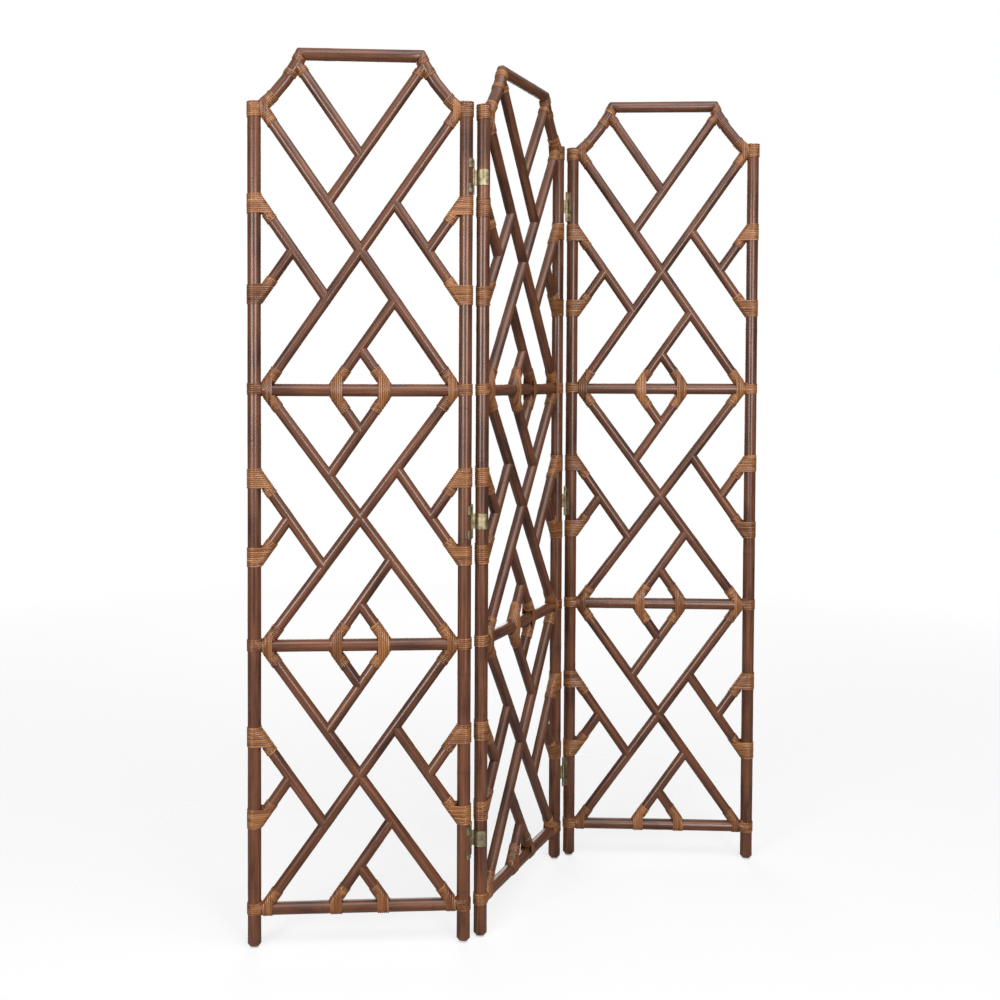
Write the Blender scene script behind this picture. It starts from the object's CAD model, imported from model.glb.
"""A folding room divider: three lattice panels of rattan poles, bound with peel and hinged."""

import math
import random

import bmesh
import bpy
from mathutils import Matrix, Vector


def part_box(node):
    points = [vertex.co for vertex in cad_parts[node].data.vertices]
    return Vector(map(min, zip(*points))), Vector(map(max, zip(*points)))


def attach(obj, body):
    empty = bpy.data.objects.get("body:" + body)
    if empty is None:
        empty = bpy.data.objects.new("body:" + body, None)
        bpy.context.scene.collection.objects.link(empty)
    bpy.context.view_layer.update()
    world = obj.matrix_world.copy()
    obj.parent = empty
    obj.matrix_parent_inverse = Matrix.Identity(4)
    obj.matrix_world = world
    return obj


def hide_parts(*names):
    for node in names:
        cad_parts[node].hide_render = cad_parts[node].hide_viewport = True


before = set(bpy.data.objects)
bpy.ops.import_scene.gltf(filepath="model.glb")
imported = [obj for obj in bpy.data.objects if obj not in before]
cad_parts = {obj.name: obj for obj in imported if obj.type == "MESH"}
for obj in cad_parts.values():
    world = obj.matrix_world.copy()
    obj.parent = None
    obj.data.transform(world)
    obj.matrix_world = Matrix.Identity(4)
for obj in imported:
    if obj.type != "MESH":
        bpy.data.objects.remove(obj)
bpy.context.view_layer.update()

# ------------------------------------------------ sizes in millimetres
# The panel, as in the CAD model
PANEL_W, PANEL_H = 457, 1830
SHOULDER_H, SHOULDER_DROP = 1727, 16
CORNER_X, ARM_BEND = 120, 25
UPPER_RAIL_Z, LOWER_RAIL_Z, BOTTOM_RAIL_Z = 1141, 620, 79
POST_R, RAIL_R, ARM_R, DIAGONAL_R, STRUT_R = 14, 13, 12.75, 11.5, 11.25
POST_ROUND, GLIDE_H = 3, 4
STRUT_SLOPE = math.radians(55)
RAIL_JOINT_X, ARM_JOINT = 50, 20

# The windings, as in the CAD model
PEEL_T, PEEL_PITCH, PEEL_FIT = 1.4, 4, 0.15
SIDE_TURNS, RAIL_TURNS, CORNER_TURNS, STRUT_TURNS = 10, 6, 5, 4
POST_TURNS, SHOULDER_TURNS, SHOULDER_BELT_TURNS = 6, 8, 3
DIAGONAL_TURNS, CORNER_BAND_TURNS, CROWN_TURNS = 5, 3, 3
CROWN_STRUT_BAND, CORNER_START, TOP_START = 13, 1, 1
SHOULDER_ARM_BAND, SHOULDER_POLE_BAND = 17, 20

# Only in the scene, as in the photograph
# The foot of a post: (off the radius, above the glide), from the bottom up
FOOT_EASE = ((4.9, 0), (4.1, 0.6), (0.7, 4.6), (0, 6))
# Posts that were cut a little short
SHORT_POSTS = {("left", "left"): 7, ("middle", "right"): 8, ("right", "left"): 8}
# Where the two bands on an arm begin, below its corner, and second bands that sit nearer to it
CROWN_BAND, ARM_BAND = 4, 37
NEAR_ARM_BANDS = {("left", "right"): 31}

POST_X = PANEL_W / 2 - POST_R
FACE_X = POST_X - POST_R
TOP_Z = PANEL_H - RAIL_R
BELT_H = SIDE_TURNS * PEEL_PITCH
SIDES = ("left", "middle", "right")
MM = 0.001


def post_top(side, which):
    """The height of a post."""
    return SHOULDER_H - SHORT_POSTS.get((side, which), 0)


# ------------------------------------------------ the lattice, in a panel's plane: (across, up)
# How far from the middle of a crossing a half diagonal starts, inside the pole it butts on
HALF_SEAT = 2


def point(x, z):
    return Vector((x, z))


def meet(p, u, q, v):
    """The point where the line from p along u crosses the line from q along v."""
    w = q - p
    return p + u * ((w.x * v.y - w.y * v.x) / (u.x * v.y - u.y * v.x))


def turned(p):
    """A point or a direction on the other side of the panel's middle."""
    return point(-p.x, p.y)


def mirrored(ends):
    return tuple(turned(p) for p in ends)


class Cell:
    """One third of a panel, with its two crossing poles."""

    def __init__(self, low_z, low_inset, high_z, high_inset, rise):
        """The insets say how far inside the posts' middles the crossing poles end.

        rise is how far above and below the crossing the struts leave the posts.
        """
        self.low_z, self.rise = low_z, rise
        self.low = point(POST_X - low_inset, low_z)
        self.high = point(-(POST_X - high_inset), high_z)
        self.slope = (self.high - self.low).normalized()
        self.crossing = meet(self.low, self.slope, point(0, 0), point(0, 1))

    def spun(self, ends):
        """The same pole turned half way round the crossing, as the lattice repeats."""
        return tuple(point(-p.x, 2 * self.crossing.y - p.y) for p in ends)


TOP = Cell(UPPER_RAIL_Z, 17, SHOULDER_H - SHOULDER_DROP, POST_R, rise=91)
MIDDLE = Cell(LOWER_RAIL_Z, 21, UPPER_RAIL_Z, 21, rise=80)
BOTTOM = Cell(BOTTOM_RAIL_Z, 20, LOWER_RAIL_Z, 20, rise=84)
CELLS = (TOP, MIDDLE, BOTTOM)
UP_RIGHT = point(math.cos(STRUT_SLOPE), math.sin(STRUT_SLOPE))
DOWN_RIGHT = point(UP_RIGHT.x, -UP_RIGHT.y)

ARM_FOOT = point(-FACE_X, SHOULDER_H - SHOULDER_DROP)
ARM_TOP = point(-CORNER_X, TOP_Z)
ARM_CHORD = ARM_TOP - ARM_FOOT
ARM_ANGLE = math.atan2(ARM_CHORD.y, ARM_CHORD.x)
HALF_BEND = math.radians(ARM_BEND / 2)
ARM_RADIUS = ARM_CHORD.length / (2 * math.sin(HALF_BEND))
ARM_CENTRE = (ARM_FOOT + ARM_TOP) / 2 + ARM_RADIUS * math.cos(HALF_BEND) * point(
    -math.sin(ARM_ANGLE), math.cos(ARM_ANGLE))
ARM_LENGTH = 2 * HALF_BEND * ARM_RADIUS


def arm_slope(s):
    """Direction of the left arm, at a distance s along it down from the corner."""
    return ARM_ANGLE + HALF_BEND - s / ARM_RADIUS


def arm_point(s):
    a = arm_slope(s)
    return ARM_CENTRE + ARM_RADIUS * point(math.sin(a), -math.cos(a))


def side_start(z, lift):
    """Where a strut starts in the left post, if it leaves the post's face at z."""
    return point(-POST_X, z + lift * POST_R * math.tan(STRUT_SLOPE))


def side_long(c):
    p = side_start(c.crossing.y + c.rise, 1)
    return p, meet(p, DOWN_RIGHT, turned(c.low), turned(c.slope))


def side_short(c):
    p = side_start(c.crossing.y - c.rise, -1)
    return p, meet(p, UP_RIGHT, side_long(c)[0], DOWN_RIGHT)


def rail_start(z, x, lean):
    """Where a strut starts in the rail at z, if it leaves the rail's face at x."""
    return point(x - lean * RAIL_R / math.tan(STRUT_SLOPE), z)


def rail_long(c):
    p = rail_start(c.low_z, -RAIL_JOINT_X, 1)
    return p, meet(p, UP_RIGHT, c.low, c.slope)


def rail_short(c):
    p = rail_start(c.low_z, RAIL_JOINT_X, -1)
    return p, meet(p, DOWN_RIGHT, rail_long(c)[0], UP_RIGHT)


def crown_long():
    p = turned(arm_point(ARM_JOINT))
    return p, meet(p, UP_RIGHT, TOP.high, TOP.slope)


def crown_short():
    p = arm_point(ARM_JOINT)
    return p, meet(p, DOWN_RIGHT, crown_long()[0], UP_RIGHT)


def lattice_poles():
    """Every slanting pole of a panel: its CAD node, its two ends and its radius."""
    poles = []
    for c in CELLS:
        through = (c.low, c.high)
        seat = c.slope * HALF_SEAT
        halves = ((c.crossing + seat, c.high), (c.crossing - seat, c.low))
        if c is MIDDLE:
            through = mirrored(through)
        else:
            halves = tuple(mirrored(half) for half in halves)
        poles.append(("through_diagonals", through, DIAGONAL_R))
        poles += [("half_diagonals", half, DIAGONAL_R) for half in halves]
        for node, side, rail in (
            ("long_struts", side_long(c), rail_long(c)),
            ("short_struts", side_short(c), rail_short(c)),
        ):
            poles += [(node, ends, STRUT_R) for ends in (side, c.spun(side), rail)]
            if c is not TOP:
                poles.append((node, c.spun(rail), STRUT_R))
    poles.append(("long_struts", crown_long(), STRUT_R))
    poles.append(("short_struts", crown_short(), STRUT_R))
    return poles


# ------------------------------------------------ places
HALF_TURN = Matrix.Rotation(math.pi, 4, "Z")


def along(p, v):
    """Local +Z along a pole from p in the direction v, local +X in the panel's plane."""
    way = Vector((v.x, 0, v.y)).normalized()
    out = Vector((v.y, 0, -v.x)).normalized()
    depth = way.cross(out)
    place = Matrix((out, depth, way)).transposed().to_4x4()
    place.translation = Vector((p.x, 0, p.y))
    return place


def standing(side):
    """Panel millimetres to the place where the CAD model's panel stands, in metres."""
    ends = []
    for which in ("left", "right"):
        low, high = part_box(f"{side}_post_{which}")
        ends.append((low + high) / 2)
    way = ends[1] - ends[0]
    middle = (ends[0] + ends[1]) / 2
    middle.z = 0
    yaw = Matrix.Rotation(math.atan2(way.y, way.x), 4, "Z")
    return Matrix.Translation(middle) @ yaw @ Matrix.Scale(MM, 4)


# ------------------------------------------------ pieces out of small meshes
# Edges that turn by more than this stay sharp
CRISP = math.radians(38)
# Points nearer to each other than this are one, and nearer to a cut than this are on it
WELD, ON_CUT = 0.001, 0.0001
LATHE_STEPS = 32


def with_layers(bm):
    """Gives a mesh its two layers: grain, a place in metres, and mark.

    The mark of a pole says how near a knot and the middle of a cut end are, that of a strand
    says its tone.
    """
    return bm.verts.layers.float_vector.new("grain"), bm.verts.layers.float_vector.new("mark")


class Piece:
    """Collects small meshes that make one object."""

    def __init__(self, name):
        self.name = name
        self.mesh = bpy.data.meshes.new(name)
        self.whole = bmesh.new()
        with_layers(self.whole)

    def add(self, bm, place=None):
        """Puts a small mesh in, and frees it."""
        if place is not None:
            bmesh.ops.transform(bm, matrix=place, verts=bm.verts)
        bmesh.ops.recalc_face_normals(bm, faces=bm.faces)
        part = bpy.data.meshes.new("part")
        bm.to_mesh(part)
        bm.free()
        self.whole.from_mesh(part)
        bpy.data.meshes.remove(part)

    def finish(self, place, material, body, slot, *nodes):
        """Places the piece, gives it its material and lets it ride on its body."""
        bmesh.ops.transform(self.whole, matrix=place, verts=self.whole.verts)
        for face in self.whole.faces:
            face.smooth = True
        for edge in self.whole.edges:
            edge.smooth = len(edge.link_faces) != 2 or edge.calc_face_angle(0) < CRISP
        self.whole.to_mesh(self.mesh)
        self.whole.free()
        self.mesh.materials.append(material)
        piece = bpy.data.objects.new(self.name, self.mesh)
        bpy.context.scene.collection.objects.link(piece)
        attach(piece, body)
        if nodes:
            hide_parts(*nodes)


def placed(bm, place):
    bmesh.ops.transform(bm, matrix=place, verts=bm.verts)
    return bm


def lathe(bm, spine):
    """Turns a chain of vertices, from axis to axis, once round Z into a closed form."""
    edges = [bm.edges.new(pair) for pair in zip(spine, spine[1:])]
    bmesh.ops.spin(
        bm, geom=spine + edges, cent=(0, 0, 0), axis=(0, 0, 1), dvec=(0, 0, 0),
        angle=2 * math.pi, steps=LATHE_STEPS, use_merge=True, use_duplicate=False)
    bmesh.ops.remove_doubles(bm, verts=bm.verts, dist=WELD)


def cut_off(bm, at, away, ease=0):
    """Cuts a mesh at a plane and closes it again, with its new edge eased."""
    bmesh.ops.bisect_plane(
        bm, geom=bm.verts[:] + bm.edges[:] + bm.faces[:], dist=ON_CUT,
        plane_co=at, plane_no=away, clear_outer=True)
    edge = [e for e in bm.edges if e.is_boundary]
    if edge:
        bmesh.ops.holes_fill(bm, edges=edge, sides=0)
    if ease:
        bmesh.ops.bevel(
            bm, geom=edge, affect="EDGES", offset=ease, segments=2, profile=0.5, material=-1)


def bent(bm, before=0, lean=0):
    """Bends a form along +Z round the left arm: z is the distance below the corner.

    The form begins so far before the corner, and a lean tilts a winding in the panel's plane.
    """
    for vert in bm.verts:
        s = vert.co.z - before + lean * vert.co.x
        a = arm_slope(s)
        spot = arm_point(s) + vert.co.x * point(-math.sin(a), math.cos(a))
        vert.co = (spot.x, vert.co.y, spot.y)
    return bm


# ------------------------------------------------ poles
# Where the first knot may be, how far on the next, and how far they stay off the pole's end
FIRST_KNOT, NEXT_KNOT, LAST_KNOT = (60, 240), (190, 360), 25
# A distance at which no knot is felt, for poles without one
NO_KNOT = 99
# Steps of the outline along a pole, and those round a knot
RING_STEP, ROUND_STEP = 40, 15
KNOT_RINGS = (-16, -8, -3.5, -1.2, 0, 1.2, 3.5, 8, 16)
# Widths of a knot's swelling, its groove and its stain, and the groove's depth
SWELL_W, GROOVE_W, STAIN_W, GROOVE_D = 9, 1.1, 3, 0.14
# How much slimmer a pole is between its knots, how much that varies, and how fast
SLIM, SLIM_VARY, SLIM_WAVE = 0.22, 0.12, 70
# How crooked a pole is, and from what length on it is so in full
BOW, BOW_LENGTH = (0.1, 0.5), 500
# How far the grain of a pole is shifted, across and along it
GRAIN_ACROSS, GRAIN_ALONG = (-5, 5), (0, 50)


def knots(length, rng):
    """Places of the knots along a pole, at uneven steps."""
    places, z = [], rng.uniform(*FIRST_KNOT)
    while z < length - LAST_KNOT:
        places.append(z)
        z += rng.uniform(*NEXT_KNOT)
    return places


def hump(off, width):
    """1 at a place, falling to nearly 0 two widths away from it."""
    return math.exp(-((off / width) ** 2))


def pole_profile(radius, length, rng, ends):
    """Outline of a pole: a little slimmer between its knots, with a ring at each.

    It says (radius, height, how near a knot is); ends holds its caps as (height, radius).
    """
    places = knots(length, rng)
    rows = [z for z, _ in ends] + [RING_STEP * i for i in range(1, int(length / RING_STEP))]
    for knot in places:
        rows += [knot + step for step in KNOT_RINGS]
    caps = dict(ends)
    inner = 1 if len(ends) > 2 else 0
    low, high = ends[inner][0], ends[-1 - inner][0]
    outline = []
    for z in sorted(set(round(z, 2) for z in rows)):
        if z in caps:
            outline.append((caps[z], z, 0))
        elif low < z < high:
            near = min([abs(z - knot) for knot in places] or [NO_KNOT])
            slim = SLIM + SLIM_VARY * math.sin(z / SLIM_WAVE + radius)
            shape = radius - slim * (1 - hump(near, SWELL_W)) - GROOVE_D * hump(near, GROOVE_W)
            outline.append((shape, z, hump(near, STAIN_W)))
    return outline


def lathe_pole(radius, length, rng, ends=None):
    """A pole along +Z, turned from its outline, with its grain running along it."""
    ends = ends or [(0.0, radius), (float(round(length, 2)), radius)]
    bm = bmesh.new()
    grain, mark = with_layers(bm)
    outline = pole_profile(radius, length, rng, ends)
    spine = []
    for r, z, knot in [(0, outline[0][1], 0)] + outline + [(0, outline[-1][1], 0)]:
        vert = bm.verts.new((r, 0, z))
        vert[mark] = (knot, 1 if r == 0 else 0, 0)
        spine.append(vert)
    lathe(bm, spine)
    shift = Vector((
        rng.uniform(*GRAIN_ACROSS), rng.uniform(*GRAIN_ACROSS), rng.uniform(*GRAIN_ALONG)))
    bow, lean = rng.uniform(*BOW), rng.uniform(0, 2 * math.pi)
    for vert in bm.verts:
        vert[grain] = (vert.co * MM) + shift
        bend = bow * math.sin(math.pi * vert.co.z / length) * min(1, length / BOW_LENGTH)
        vert.co.x += bend * math.cos(lean)
        vert.co.y += bend * math.sin(lean)
    return bm


def post_pole(high, rng):
    """A post: eased foot, rounded top."""
    ends = [(GLIDE_H + up, POST_R - off) for off, up in FOOT_EASE]
    for step in range(0, 91, ROUND_STEP):
        a = math.radians(step)
        ends.append((
            round(high - POST_ROUND + POST_ROUND * math.sin(a), 2),
            POST_R - POST_ROUND + POST_ROUND * math.cos(a)))
    return lathe_pole(POST_R, high, rng, ends)


def straight_pole(ends, radius, rng):
    way = ends[1] - ends[0]
    return placed(lathe_pole(radius, way.length, rng), along(ends[0], way))


# The corners of the top: how their cut edges are eased, the gap in them, how blunt their tips are
MITRE_EASE, MITRE_GAP, TIP_CUT = 0.9, 0.1, 2.2
# How far the arm runs on into the post, and past the corner before it is cut there
INTO_POST, PAST_CORNER = 9, 20
# The top rail is this much thinner than the others
TOP_RAIL_LESS = 0.05
CORNER_HALF = arm_slope(0) / 2
CORNER_CUT = Vector((-math.cos(CORNER_HALF), 0, -math.sin(CORNER_HALF)))


def top_corner(way):
    """Where an arm meets the top rail: the left corner for -1, the right one for 1."""
    return Vector((way * CORNER_X, 0, TOP_Z))


def blunt_corner(bm, way):
    """Takes the sharp tip off a mitred corner."""
    out = Vector((way * math.sin(CORNER_HALF), 0, math.cos(CORNER_HALF)))
    reach = ARM_R / math.cos(CORNER_HALF) - TIP_CUT
    cut_off(bm, top_corner(way) + out * reach, out)


def arm_pole(rng):
    """The curved arm: a straight pole bent round its arc and mitred at the corner."""
    bm = bent(lathe_pole(ARM_R, ARM_LENGTH + INTO_POST + PAST_CORNER, rng), PAST_CORNER)
    cut_off(bm, top_corner(-1) + CORNER_CUT * MITRE_GAP, -CORNER_CUT, MITRE_EASE)
    blunt_corner(bm, -1)
    return bm


def top_pole(rng):
    """The top rail, mitred at both ends to meet the arms."""
    end = CORNER_X + 2 * RAIL_R
    bm = straight_pole((point(-end, TOP_Z), point(end, TOP_Z)), RAIL_R - TOP_RAIL_LESS, rng)
    for way in (-1, 1):
        cut = Vector((-way * CORNER_CUT.x, 0, CORNER_CUT.z))
        cut_off(bm, top_corner(way) - cut * MITRE_GAP, cut, MITRE_EASE)
        blunt_corner(bm, way)
    return bm


def make_poles(side, place, material, body):
    """All poles of a panel, one piece for each CAD node."""
    rng = random.Random(f"{side} poles")
    lattice = HALF_TURN if side == "middle" else Matrix.Identity(4)
    pieces = {}

    def put(node, bm, turn=None):
        if node not in pieces:
            pieces[node] = Piece(f"{side}_{node}_cane")
        pieces[node].add(bm, turn)

    for which, x in (("left", -POST_X), ("right", POST_X)):
        post = post_pole(post_top(side, which), rng)
        put(f"post_{which}", post, Matrix.Translation((x, 0, 0)))
    put("arms", arm_pole(rng))
    put("arms", arm_pole(rng), HALF_TURN)
    put("top_rail", top_pole(rng))
    for node, z in (("upper", UPPER_RAIL_Z), ("lower", LOWER_RAIL_Z), ("bottom", BOTTOM_RAIL_Z)):
        put(f"{node}_rail", straight_pole((point(-POST_X, z), point(POST_X, z)), RAIL_R, rng))
    for node, ends, radius in lattice_poles():
        put(node, straight_pole(ends, radius, rng), lattice)
    for node, piece in pieces.items():
        piece.finish(place, material, body, "rattan_pole", f"{side}_{node}")


# ------------------------------------------------ strands of peel
# A strand of split peel seen from its end: (across, out), flat below and crowned above
STRAND = ((-0.5, 0.12), (-0.42, 0.7), (-0.17, 1.0), (0.17, 1.0), (0.42, 0.7), (0.5, 0.12))
STRAND_W, STRAND_SUNK = 3.75, 0.1
# A bare strand rises by this much in a step, more than its width, so that steps can be told apart
STEP_RISE = 2
# Steps of one turn, steps beyond the turns, and steps over which an end is tucked in
WIND_STEPS, SPARE_STEPS, TUCK_STEPS = 24, 4, 3
# How far below its own thickness an end is tucked in
TUCK_D = 0.6
# How far a strand wanders along its pole, and off it
SWAY, LIFT = (-0.16, 0.16), (-0.1, 0.12)
# Where the fine lines of a strand begin, and how light strands and ties are
SEEDS, TONES, TIE_TONES = (0, 90), (0, 1), (0.3, 1)
# A tie: its steps, its width and thickness against a strand's, how fast and deep it is tucked in
TIE_STEPS, TIE_W, TIE_T, TIE_TUCK, TIE_TUCK_D = 9, 0.86, 0.5, 4.5, 1.6
# Half the width that the end of a butting pole takes up in a winding
BUTT_ROUND = 2.5


def bare_strand(steps):
    """A strand of peel in so many steps; its mark says (across, out, number of the step)."""
    bm = bmesh.new()
    grain, mark = with_layers(bm)
    ring = []
    for across, out in STRAND:
        vert = bm.verts.new((1, 0, across))
        vert[mark] = (across, out, 0)
        ring.append(vert)
    edges = [bm.edges.new((a, b)) for a, b in zip(ring, ring[1:] + ring[:1])]
    bmesh.ops.spin(
        bm, geom=ring + edges, cent=(0, 0, 0), axis=(0, 0, 1), dvec=(0, 0, STEP_RISE),
        angle=math.pi, steps=steps, use_merge=False, use_duplicate=False)
    bmesh.ops.holes_fill(bm, edges=[e for e in bm.edges if e.is_boundary], sides=0)
    for vert in bm.verts:
        across, out, _ = vert[mark]
        vert[mark] = (across, out, (vert.co.z - across) / STEP_RISE)
    return bm, grain, mark


class Leaving:
    """A pole that leaves the wound pole and is wound in with it, on one side of it."""

    def __init__(self, place, radius, start, way, side):
        """start and way are in the panel's plane, place is the wound pole's."""
        back = place.inverted()
        start = back @ Vector((start.x, 0, start.y))
        way = (back.to_3x3() @ Vector((way.x, 0, way.y))).normalized()
        self.start, self.way, self.radius, self.side = start, way, radius, side
        self.long_r = radius / abs(way.z)

    def outline(self, z):
        """Its section at a height: centre, half width and half depth."""
        centre = self.start.x + (z - self.start.z) * self.way.x / self.way.z
        return centre, self.long_r, self.radius


class Butting:
    """The end of a pole that butts on the wound pole, wound in with it at front and back."""

    side = 1

    def __init__(self, radius, z, reach):
        self.radius, self.z, self.reach = radius, z, reach

    def outline(self, z):
        """Its section at a height: centre, half width and half depth."""
        depth = math.sqrt(max(self.radius ** 2 - (z - self.z) ** 2, 0.01))
        return self.reach - BUTT_ROUND, BUTT_ROUND, depth


def support(radius, wound_in, z, nx, ny):
    """The outermost point of the wound poles at a height, seen in the direction n."""
    best, spot = radius, (radius * nx, radius * ny)
    for pole in wound_in:
        if nx * pole.side <= 0:
            continue
        centre, across, depth = pole.outline(z)
        root = math.hypot(across * nx, depth * ny)
        reach = centre * nx + root
        if reach > best:
            best = reach
            spot = (centre + across ** 2 * nx / root, depth ** 2 * ny / root)
    return spot


def wavering(rng, low, high, turns):
    """A value that wanders slowly as a strand is wound: a function of the half turns."""
    values = [rng.uniform(low, high) for _ in range(2 * turns + 4)]

    def at(t):
        k, part = int(t), t - int(t)
        part = part * part * (3 - 2 * part)
        return values[k] + (values[k + 1] - values[k]) * part
    return at


def wind(radius, start, turns, rng, first, wound_in=()):
    """One strand wound round a pole along +Z, over the poles wound in with it.

    start is the height and first the angle at which it begins.
    """
    steps = WIND_STEPS * turns + SPARE_STEPS
    rise = PEEL_PITCH / WIND_STEPS
    bm, grain, mark = bare_strand(steps)
    seed, tone = rng.uniform(*SEEDS), rng.uniform(*TONES)
    sway, lift = wavering(rng, *SWAY, turns), wavering(rng, *LIFT, turns)
    for vert in bm.verts:
        across, out, step = vert[mark]
        across *= STRAND_W
        t = 2 * step / WIND_STEPS
        free = min(1, step / TUCK_STEPS, (steps - step) / TUCK_STEPS)
        a = first + math.pi * t
        nx, ny = math.cos(a), math.sin(a)
        z = start + PEEL_PITCH / 2 + (step - SPARE_STEPS / 2) * rise + across + sway(t)
        x, y = support(radius, wound_in, z, nx, ny)
        deep = (1 - free) * (PEEL_T + TUCK_D)
        off = PEEL_FIT - STRAND_SUNK + out * PEEL_T + lift(t) * free - deep
        vert.co = (x + nx * off, y + ny * off, z)
        vert[grain] = (math.pi * t * radius * MM, across * MM, seed)
        vert[mark] = (tone, 0, 0)
    return bm


def tie(radius, start, end, rng):
    """A short strand laid over a band from start to end, both (angle, height)."""
    bm, grain, mark = bare_strand(TIE_STEPS)
    way = point((end[0] - start[0]) * radius, end[1] - start[1])
    length = way.length
    way = way.normalized()
    seed, tone = rng.uniform(*SEEDS), rng.uniform(*TIE_TONES)
    for vert in bm.verts:
        across, out, step = vert[mark]
        across *= STRAND_W * TIE_W
        t = step / TIE_STEPS
        a = start[0] + (way.x * t * length - way.y * across) / radius
        z = start[1] + way.y * t * length + way.x * across
        free = min(1, TIE_TUCK * t, TIE_TUCK * (1 - t))
        r = radius + TIE_T * out * PEEL_T - (1 - free) * TIE_TUCK_D
        vert.co = (r * math.cos(a), r * math.sin(a), z)
        vert[grain] = (t * length * MM, across * MM, seed)
        vert[mark] = (tone, 0, 0)
    return bm


# ------------------------------------------------ windings, on the left side of a panel
CORNER_FROM = POST_R + CORNER_START
CORNER_TO = CORNER_FROM + CORNER_TURNS * PEEL_PITCH
SHOULDER_TO = CORNER_FROM + SHOULDER_BELT_TURNS * PEEL_PITCH
SHOULDER_FROM = CORNER_FROM - PEEL_PITCH
# How far a band runs on towards the belt beside it, and how far under the belt it is cut off
HIDDEN, UNDER = 2 * PEEL_PITCH, 1.5
HIDDEN_ON_ARM, HIDDEN_ON_POLE = 19, 9
# Ties over the band on a strut: their two angles from its face, and their two heights
TIES, TIE_FROM, TIE_TO = ((0.75, 0.35), (0.1, -0.25)), 3, 15.5
# How far the shoulder's belt stays above the post's top, and how far inside its face it rises
POST_COVER, COVER_EDGE = 0.8, 1
# What stands above the rim of the post's sleeve, this far below its top, is pressed nearly flat
RIM_DROP, RIM_PRESS = 0.6, 0.3
# The end of the arm under the post's sleeve: how much lower and farther out it is taken
ARM_END = 2
# The first band on an arm isn't square to it
CROWN_LEAN = -0.15


def pole_above(c):
    return turned(c.low), turned(c.slope)


def pole_below(c):
    return c.high, -c.slope


def corner_band_from(p, v):
    """Where the band on a crossing pole begins: past the belt, and clear of the rail."""
    band_r = DIAGONAL_R + PEEL_FIT + PEEL_T
    return max(
        (CORNER_TO - POST_X - p.x) / v.x - PEEL_PITCH / 2,
        (RAIL_R + PEEL_FIT + band_r * abs(v.x)) / abs(v.y))


def wind_side(put, z, up, back, rng):
    """The belt round a left post and one strut, and the band on the strut with its ties."""
    way = UP_RIGHT if up else DOWN_RIGHT
    sign = 1 if up else -1
    post = along(point(-POST_X, z), point(0, 1))
    strut = Leaving(post, STRUT_R, side_start(z, -sign), way, 1)
    put(wind(POST_R, -BELT_H / 2, SIDE_TURNS, rng, back, [strut]), post)
    start = BELT_H / 2 / math.sin(STRUT_SLOPE) - PEEL_PITCH / 2
    place = along(point(-FACE_X, z) + way * start, way)
    band = placed(wind(STRUT_R, -PEEL_PITCH, STRUT_TURNS + 1, rng, back), place)
    cut_off(band, Vector((0, 0, z + sign * (BELT_H / 2 - UNDER))), Vector((0, 0, -sign)))
    put(band)
    for face in (-1, 1):
        middle, lean = face * math.pi / 2, face * sign
        for first, last in TIES:
            ends = (middle + lean * first, TIE_FROM), (middle + lean * last, TIE_TO)
            put(tie(STRUT_R + PEEL_T, *ends, rng), place)


def wind_corner(put, z, above, below, back, rng):
    """The post's sleeve at a rail's left end, and the bands on the poles that cross there.

    Returns the belt over them all, with its place.
    """
    rail = along(point(-POST_X, z), point(1, 0))
    leaving = [
        Leaving(rail, DIAGONAL_R, *p, side)
        for side, poles in ((-1, above), (1, below)) for p in poles
    ]
    post = along(point(-POST_X, z), point(0, 1))
    butt = Butting(RAIL_R, 0, CORNER_FROM)
    put(wind(POST_R, -POST_TURNS * PEEL_PITCH / 2, POST_TURNS, rng, 0, [butt]), post)
    for p, v in above + below:
        band = wind(DIAGONAL_R, corner_band_from(p, v) - HIDDEN, DIAGONAL_TURNS + 2, rng, back)
        placed(band, along(p, v))
        cut_off(band, Vector((CORNER_TO - POST_X - UNDER, 0, z)), Vector((-1, 0, 0)))
        put(band)
    return wind(RAIL_R, CORNER_FROM, CORNER_TURNS, rng, back, leaving), rail


def wind_rail(put, z, ways, back, rng):
    """The belt round a rail at its left strut joint, and the bands on its struts."""
    half = RAIL_TURNS * PEEL_PITCH / 2
    rail = along(point(-RAIL_JOINT_X, z), point(1, 0))
    joint = rail_start(z, -RAIL_JOINT_X, 1)
    slopes = [point(UP_RIGHT.x, way * UP_RIGHT.y) for way in ways]
    leaving = [Leaving(rail, STRUT_R, joint, v, -way) for v, way in zip(slopes, ways)]
    put(wind(RAIL_R, -half, RAIL_TURNS, rng, back, leaving), rail)
    start = half / math.cos(STRUT_SLOPE) - PEEL_PITCH / 2 - HIDDEN
    for v, way in zip(slopes, ways):
        band = wind(STRUT_R, start, STRUT_TURNS + 2, rng, back)
        placed(band, along(point(-RAIL_JOINT_X, z + way * RAIL_R), v))
        cut_off(band, Vector((-RAIL_JOINT_X + half - UNDER, 0, z)), Vector((-1, 0, 0)))
        put(band)


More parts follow.
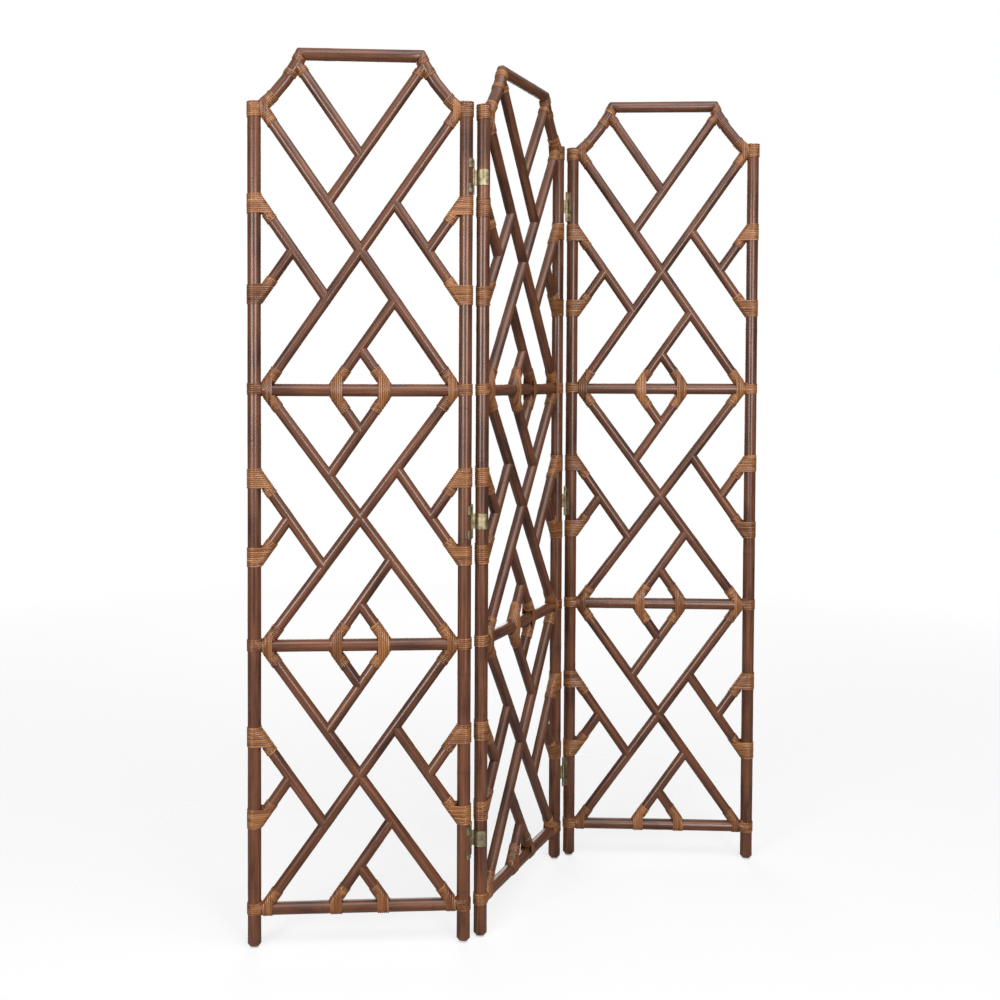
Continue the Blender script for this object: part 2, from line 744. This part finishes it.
def wind_shoulder(put, top, back, rng):
    """The windings of a post's top, of the arm's foot and of the crossing pole under it."""
    down = pole_below(TOP)[1]
    arm = along(point(-POST_X, ARM_FOOT.y), point(1, 0))
    foot = arm_slope(ARM_LENGTH)
    leaving = [
        Leaving(arm, ARM_R, ARM_FOOT, point(math.cos(foot), math.sin(foot)), -1),
        Leaving(arm, DIAGONAL_R, ARM_FOOT, down, 1),
    ]
    belt = wind(ARM_R, SHOULDER_FROM, SHOULDER_BELT_TURNS + 1, rng, back, leaving)
    for vert in belt.verts:
        over_post = SHOULDER_H + POST_COVER + max(0, vert.co.z - POST_R + COVER_EDGE)
        vert.co.x = max(vert.co.x, ARM_FOOT.y - over_post)
    put(belt, arm)

    low = top - TOP_START - SHOULDER_TURNS * PEEL_PITCH
    butt = Butting(ARM_R, ARM_FOOT.y - ARM_END, SHOULDER_FROM + ARM_END)
    sleeve = wind(POST_R, low, SHOULDER_TURNS, rng, 0, [butt])
    rim = top - RIM_DROP
    for vert in sleeve.verts:
        vert.co.z = min(vert.co.z, rim + RIM_PRESS * (vert.co.z - rim))
    put(sleeve, along(point(-POST_X, 0), point(0, 1)))

    turns = STRUT_TURNS + 3
    upper = bent(wind(ARM_R, ARM_LENGTH - SHOULDER_ARM_BAND - HIDDEN_ON_ARM, turns, rng, back))
    lower = wind(DIAGONAL_R, SHOULDER_POLE_BAND - HIDDEN_ON_POLE, turns, rng, back)
    placed(lower, along(ARM_FOOT, down))
    for band in (upper, lower):
        cut_off(band, Vector((SHOULDER_TO - POST_X - UNDER, 0, ARM_FOOT.y)), Vector((-1, 0, 0)))
        put(band)


def wind_crown(put, second, back, rng):
    """The small bands at the left corner of the top rail."""
    put(bent(wind(ARM_R, CROWN_BAND, CORNER_BAND_TURNS, rng, back), lean=CROWN_LEAN))
    put(bent(wind(ARM_R, second, CROWN_TURNS, rng, back)))
    start = crown_short()[0]
    put(wind(STRUT_R, CROWN_STRUT_BAND, CROWN_TURNS, rng, back), along(start, DOWN_RIGHT))


def make_windings(side, place, material, body):
    """All windings of a panel, one piece for each CAD node."""
    rng = random.Random(f"{side} peel")
    pieces = {
        node: Piece(f"{side}_{node}_peel")
        for node in ("side_bindings", "rail_bindings", "shoulder_bindings", "corner_windings")
    }
    for half, post, back in (
        (Matrix.Identity(4), "left", math.pi / 2), (HALF_TURN, "right", -math.pi / 2),
    ):
        def putting(node):
            def put(bm, spot=None):
                pieces[node].add(bm, half @ spot if spot is not None else half)
            return put

        sides, rails = putting("side_bindings"), putting("rail_bindings")
        shoulders, corners = putting("shoulder_bindings"), putting("corner_windings")
        for c in CELLS:
            wind_side(sides, c.crossing.y + c.rise, False, back, rng)
            wind_side(sides, c.crossing.y - c.rise, True, back, rng)
        for z, above, below, put in (
            (UPPER_RAIL_Z, [pole_above(TOP)], [pole_below(MIDDLE)], corners),
            (LOWER_RAIL_Z, [pole_above(MIDDLE)], [pole_below(BOTTOM)], rails),
            (BOTTOM_RAIL_Z, [pole_above(BOTTOM)], [], rails),
        ):
            put(*wind_corner(rails, z, above, below, back, rng))
            wind_rail(rails, z, (1, -1) if below else (1,), back, rng)
        wind_shoulder(shoulders, post_top(side, post), back, rng)
        wind_crown(shoulders, NEAR_ARM_BANDS.get((side, post), ARM_BAND), back, rng)
    for node, piece in pieces.items():
        piece.finish(place, material, body, "rattan_peel", f"{side}_{node}")


# ------------------------------------------------ glides and brads
GLIDE_OUTLINE = ((0, 0), (6.6, 0), (8.2, 0.8), (8.9, 2), (8.9, GLIDE_H), (0, GLIDE_H))
# The head of a brad: its radius, its height against that, and how far it is off the peel
BRAD_R, BRAD_FLAT, BRAD_OUT = 1.15, 0.45, 0.1
# Brads: how far inside the end of their winding, and their angle from the middle of the face
TOP_BRAD_IN, TOP_BRAD_SWING = 7, -0.5
SIDE_BRAD_IN, SIDE_BRAD_SWING = 5, 0.62


def make_glides(side, place, material, body):
    """The domed glides under a panel's two posts."""
    piece = Piece(f"{side}_domed_glides")
    for x in (-POST_X, POST_X):
        bm = bmesh.new()
        with_layers(bm)
        lathe(bm, [bm.verts.new((r, 0, z)) for r, z in GLIDE_OUTLINE])
        piece.add(bm, Matrix.Translation((x, 0, 0)))
    piece.finish(place, material, body, "glide_plastic", f"{side}_glides")


def brad_head():
    """The domed head of a brad, looking along +Z."""
    bm = bmesh.new()
    with_layers(bm)
    bmesh.ops.create_uvsphere(bm, u_segments=10, v_segments=6, radius=BRAD_R)
    bmesh.ops.scale(bm, vec=(1, 1, BRAD_FLAT), verts=bm.verts)
    return bm


def make_brads(side, place, material, body):
    """Brads that hold the ends of the strands, at the posts' tops and in the side bindings."""
    piece = Piece(f"{side}_brads")
    for post, turn in (("left", Matrix.Identity(4)), ("right", HALF_TURN)):
        spots = [(post_top(side, post) - TOP_BRAD_IN, TOP_BRAD_SWING)]
        for c in CELLS:
            for sign in (1, -1):
                z = c.crossing.y + sign * (c.rise + BELT_H / 2 - SIDE_BRAD_IN)
                spots.append((z, SIDE_BRAD_SWING))
        for face in (-1, 1):
            for z, swing in spots:
                seat = (
                    along(point(-POST_X, z), point(0, 1))
                    @ Matrix.Rotation(face * math.pi / 2 - face * swing, 4, "Z")
                    @ Matrix.Translation((POST_R + PEEL_T + BRAD_OUT, 0, 0))
                    @ Matrix.Rotation(math.pi / 2, 4, "Y"))
                piece.add(brad_head(), turn @ seat)
    piece.finish(place, material, body, "screw_steel")


# ------------------------------------------------ materials
def add(tree, kind, values=None, links=None, **settings):
    """A node with its settings, its values and its links."""
    node = tree.nodes.new("ShaderNode" + kind)
    for key, value in settings.items():
        setattr(node, key, value)
    for key, value in (values or {}).items():
        node.inputs[key].default_value = value
    for key, socket in (links or {}).items():
        tree.links.new(socket, node.inputs[key])
    return node


def new_finish(name, **values):
    """A material with its shader: (material, node tree, shader)."""
    material = bpy.data.materials.new(name)
    material.use_nodes = True
    tree = material.node_tree
    shader = tree.nodes["Principled BSDF"]
    for key, value in values.items():
        shader.inputs[key.replace("_", " ")].default_value = value
    return material, tree, shader


def lay(tree, shader, base, rough, surface):
    """Links a colour, a roughness and a bumped surface to the shader."""
    for name, socket in (("Base Color", base), ("Roughness", rough), ("Normal", surface)):
        tree.links.new(socket, shader.inputs[name])


def colour(red, green, blue):
    """A colour given as it looks on a screen, 0 to 255."""
    def linear(v):
        v /= 255
        return v / 12.92 if v <= 0.04045 else ((v + 0.055) / 1.055) ** 2.4
    return (linear(red), linear(green), linear(blue), 1)


def grey(v):
    return (v, v, v, 1)


def ramp(tree, factor, *stops):
    """Colours at (place, colour) stops, and what lies between them."""
    node = add(tree, "ValToRGB", links={"Fac": factor})
    band = node.color_ramp
    band.elements[0].position, band.elements[0].color = stops[0]
    band.elements[1].position, band.elements[1].color = stops[-1]
    for place, shade in stops[1:-1]:
        band.elements.new(place).color = shade
    return node.outputs["Color"]


def between(tree, value, low, high):
    """A value from 0 to 1, mapped to go from low to high."""
    node = add(tree, "MapRange", {"To Min": low, "To Max": high}, {"Value": value})
    return node.outputs["Result"]


def stretched(tree, source, scale):
    return add(tree, "Mapping", {"Scale": scale}, {"Vector": source}).outputs["Vector"]


def noise(tree, vector, scale, detail=3, rough=0.55):
    return add(
        tree, "TexNoise", {"Scale": scale, "Detail": detail, "Roughness": rough},
        {"Vector": vector}).outputs["Fac"]


def blend(tree, factor, first, second, mode="MIX"):
    """Mixes two colours; each, and the factor, is a socket or a value."""
    node = add(tree, "Mix", data_type="RGBA", blend_type=mode)
    for socket, given in ((0, factor), (6, first), (7, second)):
        if isinstance(given, (float, int, tuple)):
            node.inputs[socket].default_value = given
        else:
            tree.links.new(given, node.inputs[socket])
    return node.outputs[2]


def times(tree, first, second):
    return blend(tree, 1.0, first, second, "MULTIPLY")


def bump(tree, height, strength, distance, normal=None):
    links = {"Height": height}
    if normal is not None:
        links["Normal"] = normal
    return add(tree, "Bump", {"Strength": strength, "Distance": distance}, links).outputs["Normal"]


def grain_and_marks(tree):
    """The two layers of the meshes: the grain, and the first and second value of the mark."""
    grain = add(tree, "Attribute", attribute_name="grain").outputs["Vector"]
    mark = add(tree, "Attribute", attribute_name="mark").outputs["Vector"]
    marks = add(tree, "SeparateXYZ", links={"Vector": mark}).outputs
    return grain, marks["X"], marks["Y"]


def stained_cane():
    """Rattan pole, stained and lacquered: fibres, clouds of stain, dark rings at its knots."""
    material, tree, shader = new_finish(
        "stained_cane", Coat_Weight=0.62, Coat_Roughness=0.26, Specular_IOR_Level=0.2)
    grain, knot, cut_end = grain_and_marks(tree)
    fibres = noise(tree, stretched(tree, grain, (1, 1, 0.012)), 1500, 4, 0.6)
    streaks = noise(tree, stretched(tree, grain, (1, 1, 0.03)), 260, 3, 0.6)
    clouds = noise(tree, stretched(tree, grain, (1, 1, 0.25)), 38, 3, 0.5)
    stain = ramp(
        tree, streaks, (0.3, colour(85, 50, 33)), (0.5, colour(106, 66, 43)),
        (0.72, colour(128, 84, 57)))
    cloudy = ramp(
        tree, clouds, (0.32, colour(168, 150, 144)), (0.52, colour(235, 225, 220)),
        (0.7, colour(255, 240, 228)))
    fine = ramp(tree, fibres, (0.3, grey(0.72)), (0.7, grey(1.12)))
    base = times(tree, times(tree, stain, cloudy), fine)
    base = blend(tree, knot, base, blend(tree, 0.2, base, colour(42, 25, 18)))
    base = blend(tree, cut_end, base, colour(120, 92, 66))
    surface = bump(tree, clouds, 0.05, 0.002, bump(tree, fibres, 0.03, 0.0002))
    lay(tree, shader, base, between(tree, clouds, 0.36, 0.52), surface)
    return material


def lacquered_peel():
    """Split peel, honey brown: each strand has its own tone, with fine lines and dark places."""
    material, tree, shader = new_finish(
        "lacquered_peel", Coat_Weight=0.3, Coat_Roughness=0.2, Specular_IOR_Level=0.4)
    grain, tone, _ = grain_and_marks(tree)
    lines = noise(tree, stretched(tree, grain, (0.05, 1, 1)), 1400, 3, 0.6)
    tones = noise(tree, stretched(tree, grain, (1, 0.2, 1)), 22, 3, 0.6)
    base = ramp(
        tree, tones, (0.3, colour(93, 54, 29)), (0.46, colour(137, 87, 49)),
        (0.6, colour(162, 108, 61)), (0.75, colour(186, 135, 86)))
    fine = ramp(tree, lines, (0.3, grey(0.7)), (0.7, grey(1.15)))
    own = ramp(
        tree, tone, (0.0, colour(196, 184, 176)), (0.6, colour(240, 236, 232)), (1.0, grey(1)))
    base = times(tree, times(tree, base, fine), own)
    lay(tree, shader, base, between(tree, tones, 0.28, 0.5), bump(tree, lines, 0.3, 0.0004))
    return material


def metal_finish(name, light, dark, rough):
    """Metal that has dulled in use: two tones in patches, with fine scratches."""
    material, tree, shader = new_finish(name, Metallic=1.0)
    place = add(tree, "TexCoord").outputs["Object"]
    patches = noise(tree, place, 90, 4, 0.6)
    scratches = noise(tree, stretched(tree, place, (1, 1, 0.08)), 1600, 3, 0.5)
    base = ramp(tree, patches, (0.35, dark), (0.65, light))
    worn = between(tree, patches, rough, rough + 0.22)
    lay(tree, shader, base, worn, bump(tree, scratches, 0.15, 0.0002))
    return material


def moulded_plastic():
    """The glides: pale grey plastic, scuffed where they slide."""
    material, tree, shader = new_finish("moulded_plastic", Specular_IOR_Level=0.4)
    scuffs = noise(tree, add(tree, "TexCoord").outputs["Object"], 420, 4, 0.6)
    base = ramp(tree, scuffs, (0.35, colour(204, 205, 200)), (0.6, colour(236, 236, 231)))
    lay(tree, shader, base, between(tree, scuffs, 0.35, 0.6), bump(tree, scuffs, 0.15, 0.0003))
    return material


def give(material, *endings):
    """Puts a material on every CAD node whose name ends so."""
    for name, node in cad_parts.items():
        if name.endswith(endings):
            node.data.materials.clear()
            node.data.materials.append(material)


# ------------------------------------------------ floor, light and camera, in metres
# The floor: its radius, how clear its middle is, and from where to where it fades
FLOOR_R, FLOOR_CLEAR, FADE_FROM, FADE_TO = 9, 0.72, 0.9, 4.0
# The light of the room, what glossy surfaces mirror of it below and above, and the height in
# their view from which to which that changes
ROOM_LIGHT = 0.18
ROOM_GLOSS, CEILING_GLOSS, GLOSS_FROM, GLOSS_TO = 0.12, 0.7, 0.25, 0.8
# Name, place, what it faces, width, height and power
SOFTBOXES = (
    ("left_softbox", (-2.2, -2.9, 1.45), (0, 0, 1.1), 1.0, 1.4, 76),
    ("right_softbox", (1.2, -3.3, 1.45), (0, 0, 1.1), 1.0, 1.4, 68),
    ("top_softbox", (0.6, -1.6, 3.5), (0.1, 0, 0.9), 4.2, 1.8, 84),
    ("back_softbox", (-0.3, 3.4, 1.8), (0, 0, 0.9), 2.4, 2.0, 50),
)
# The camera that fits the photograph; its focal length is in pixels of the picture
CAMERA_AT, CAMERA_SHIFT = (-0.2386, -2.5055, 1.17), (0.0746, -0.0958)
CAMERA_YAW, CAMERA_DIP, CAMERA_ROLL = -0.0082, 0.025, 0.0032
SENSOR_W, FOCAL_PX, PICTURE_PX = 36, 1126.75, 1000


def make_floor():
    """A pale floor that fades into the white around it."""
    bm = bmesh.new()
    bmesh.ops.create_circle(bm, cap_ends=True, radius=FLOOR_R, segments=96)
    mesh = bpy.data.meshes.new("floor")
    bm.to_mesh(mesh)
    bm.free()
    floor = bpy.data.objects.new("floor", mesh)
    bpy.context.scene.collection.objects.link(floor)
    material, tree, shader = new_finish("pale_floor", Roughness=0.85)
    shader.inputs["Base Color"].default_value = grey(0.9)
    place = add(tree, "TexCoord").outputs["Object"]
    away = add(tree, "VectorMath", links={0: place}, operation="LENGTH").outputs["Value"]
    fade = add(
        tree, "MapRange", {"From Min": FADE_FROM, "From Max": FADE_TO, "To Min": FLOOR_CLEAR},
        {"Value": away}).outputs["Result"]
    clear = add(tree, "BsdfTransparent").outputs["BSDF"]
    mix = add(tree, "MixShader", links={0: fade, 1: shader.outputs["BSDF"], 2: clear})
    tree.links.new(mix.outputs["Shader"], tree.nodes["Material Output"].inputs["Surface"])
    mesh.materials.append(material)


def make_world():
    """White behind the screen, and softer light from all round on it."""
    world = bpy.data.worlds.new("studio")
    world.use_nodes = True
    tree = world.node_tree
    ray = add(tree, "LightPath").outputs
    way = add(tree, "SeparateXYZ", links={"Vector": add(tree, "TexCoord").outputs["Generated"]})
    heights = {"From Min": GLOSS_FROM, "From Max": GLOSS_TO}
    levels = {"To Min": ROOM_GLOSS, "To Max": CEILING_GLOSS}
    gloss = add(tree, "MapRange", {**heights, **levels}, {"Value": way.outputs["Z"]})
    room = add(tree, "MapRange", {"To Min": ROOM_LIGHT}, {
        "Value": ray["Is Glossy Ray"], "To Max": gloss.outputs["Result"]})
    seen = add(tree, "MapRange", {"To Max": 1.0}, {
        "Value": ray["Is Camera Ray"], "To Min": room.outputs["Result"]})
    tree.links.new(seen.outputs["Result"], tree.nodes["Background"].inputs["Strength"])
    tree.nodes["Background"].inputs["Color"].default_value = grey(1)
    bpy.context.scene.world = world


def softbox(name, place, target, width, height, power):
    """A lamp that lights the screen and isn't seen itself."""
    light = bpy.data.lights.new(name, "AREA")
    light.shape, light.size, light.size_y, light.energy = "RECTANGLE", width, height, power
    lamp = bpy.data.objects.new(name, light)
    lamp.location = place
    lamp.rotation_euler = (Vector(target) - Vector(place)).to_track_quat("-Z", "Y").to_euler()
    lamp.visible_camera = False
    bpy.context.scene.collection.objects.link(lamp)


def make_camera():
    camera = bpy.data.cameras.new("camera")
    camera.sensor_width = SENSOR_W
    camera.lens = SENSOR_W * FOCAL_PX / PICTURE_PX
    camera.shift_x, camera.shift_y = CAMERA_SHIFT
    seat = bpy.data.objects.new("camera", camera)
    seat.matrix_world = (
        Matrix.Translation(CAMERA_AT)
        @ Matrix.Rotation(CAMERA_YAW, 4, "Z")
        @ Matrix.Rotation(math.pi / 2 - CAMERA_DIP, 4, "X")
        @ Matrix.Rotation(CAMERA_ROLL, 4, "Z"))
    bpy.context.scene.collection.objects.link(seat)
    bpy.context.scene.camera = seat


bpy.context.scene.view_settings.view_transform = "Standard"
make_camera()
make_world()
make_floor()
for box in SOFTBOXES:
    softbox(*box)

CANE, PEEL, PLASTIC = stained_cane(), lacquered_peel(), moulded_plastic()
BRASS = metal_finish("aged_brass", colour(184, 172, 140), colour(122, 110, 84), 0.4)
STEEL = metal_finish("dull_steel", colour(190, 190, 192), colour(130, 130, 134), 0.3)
for which in SIDES:
    spot = standing(which)
    make_poles(which, spot, CANE, f"{which}_panel")
    make_windings(which, spot, PEEL, f"{which}_panel")
    make_brads(which, spot, STEEL, f"{which}_panel")
    make_glides(which, spot, PLASTIC, f"{which}_panel")
give(BRASS, "_leaves", "_pins", "_hinge_screws")
give(STEEL, "_frame_screws")
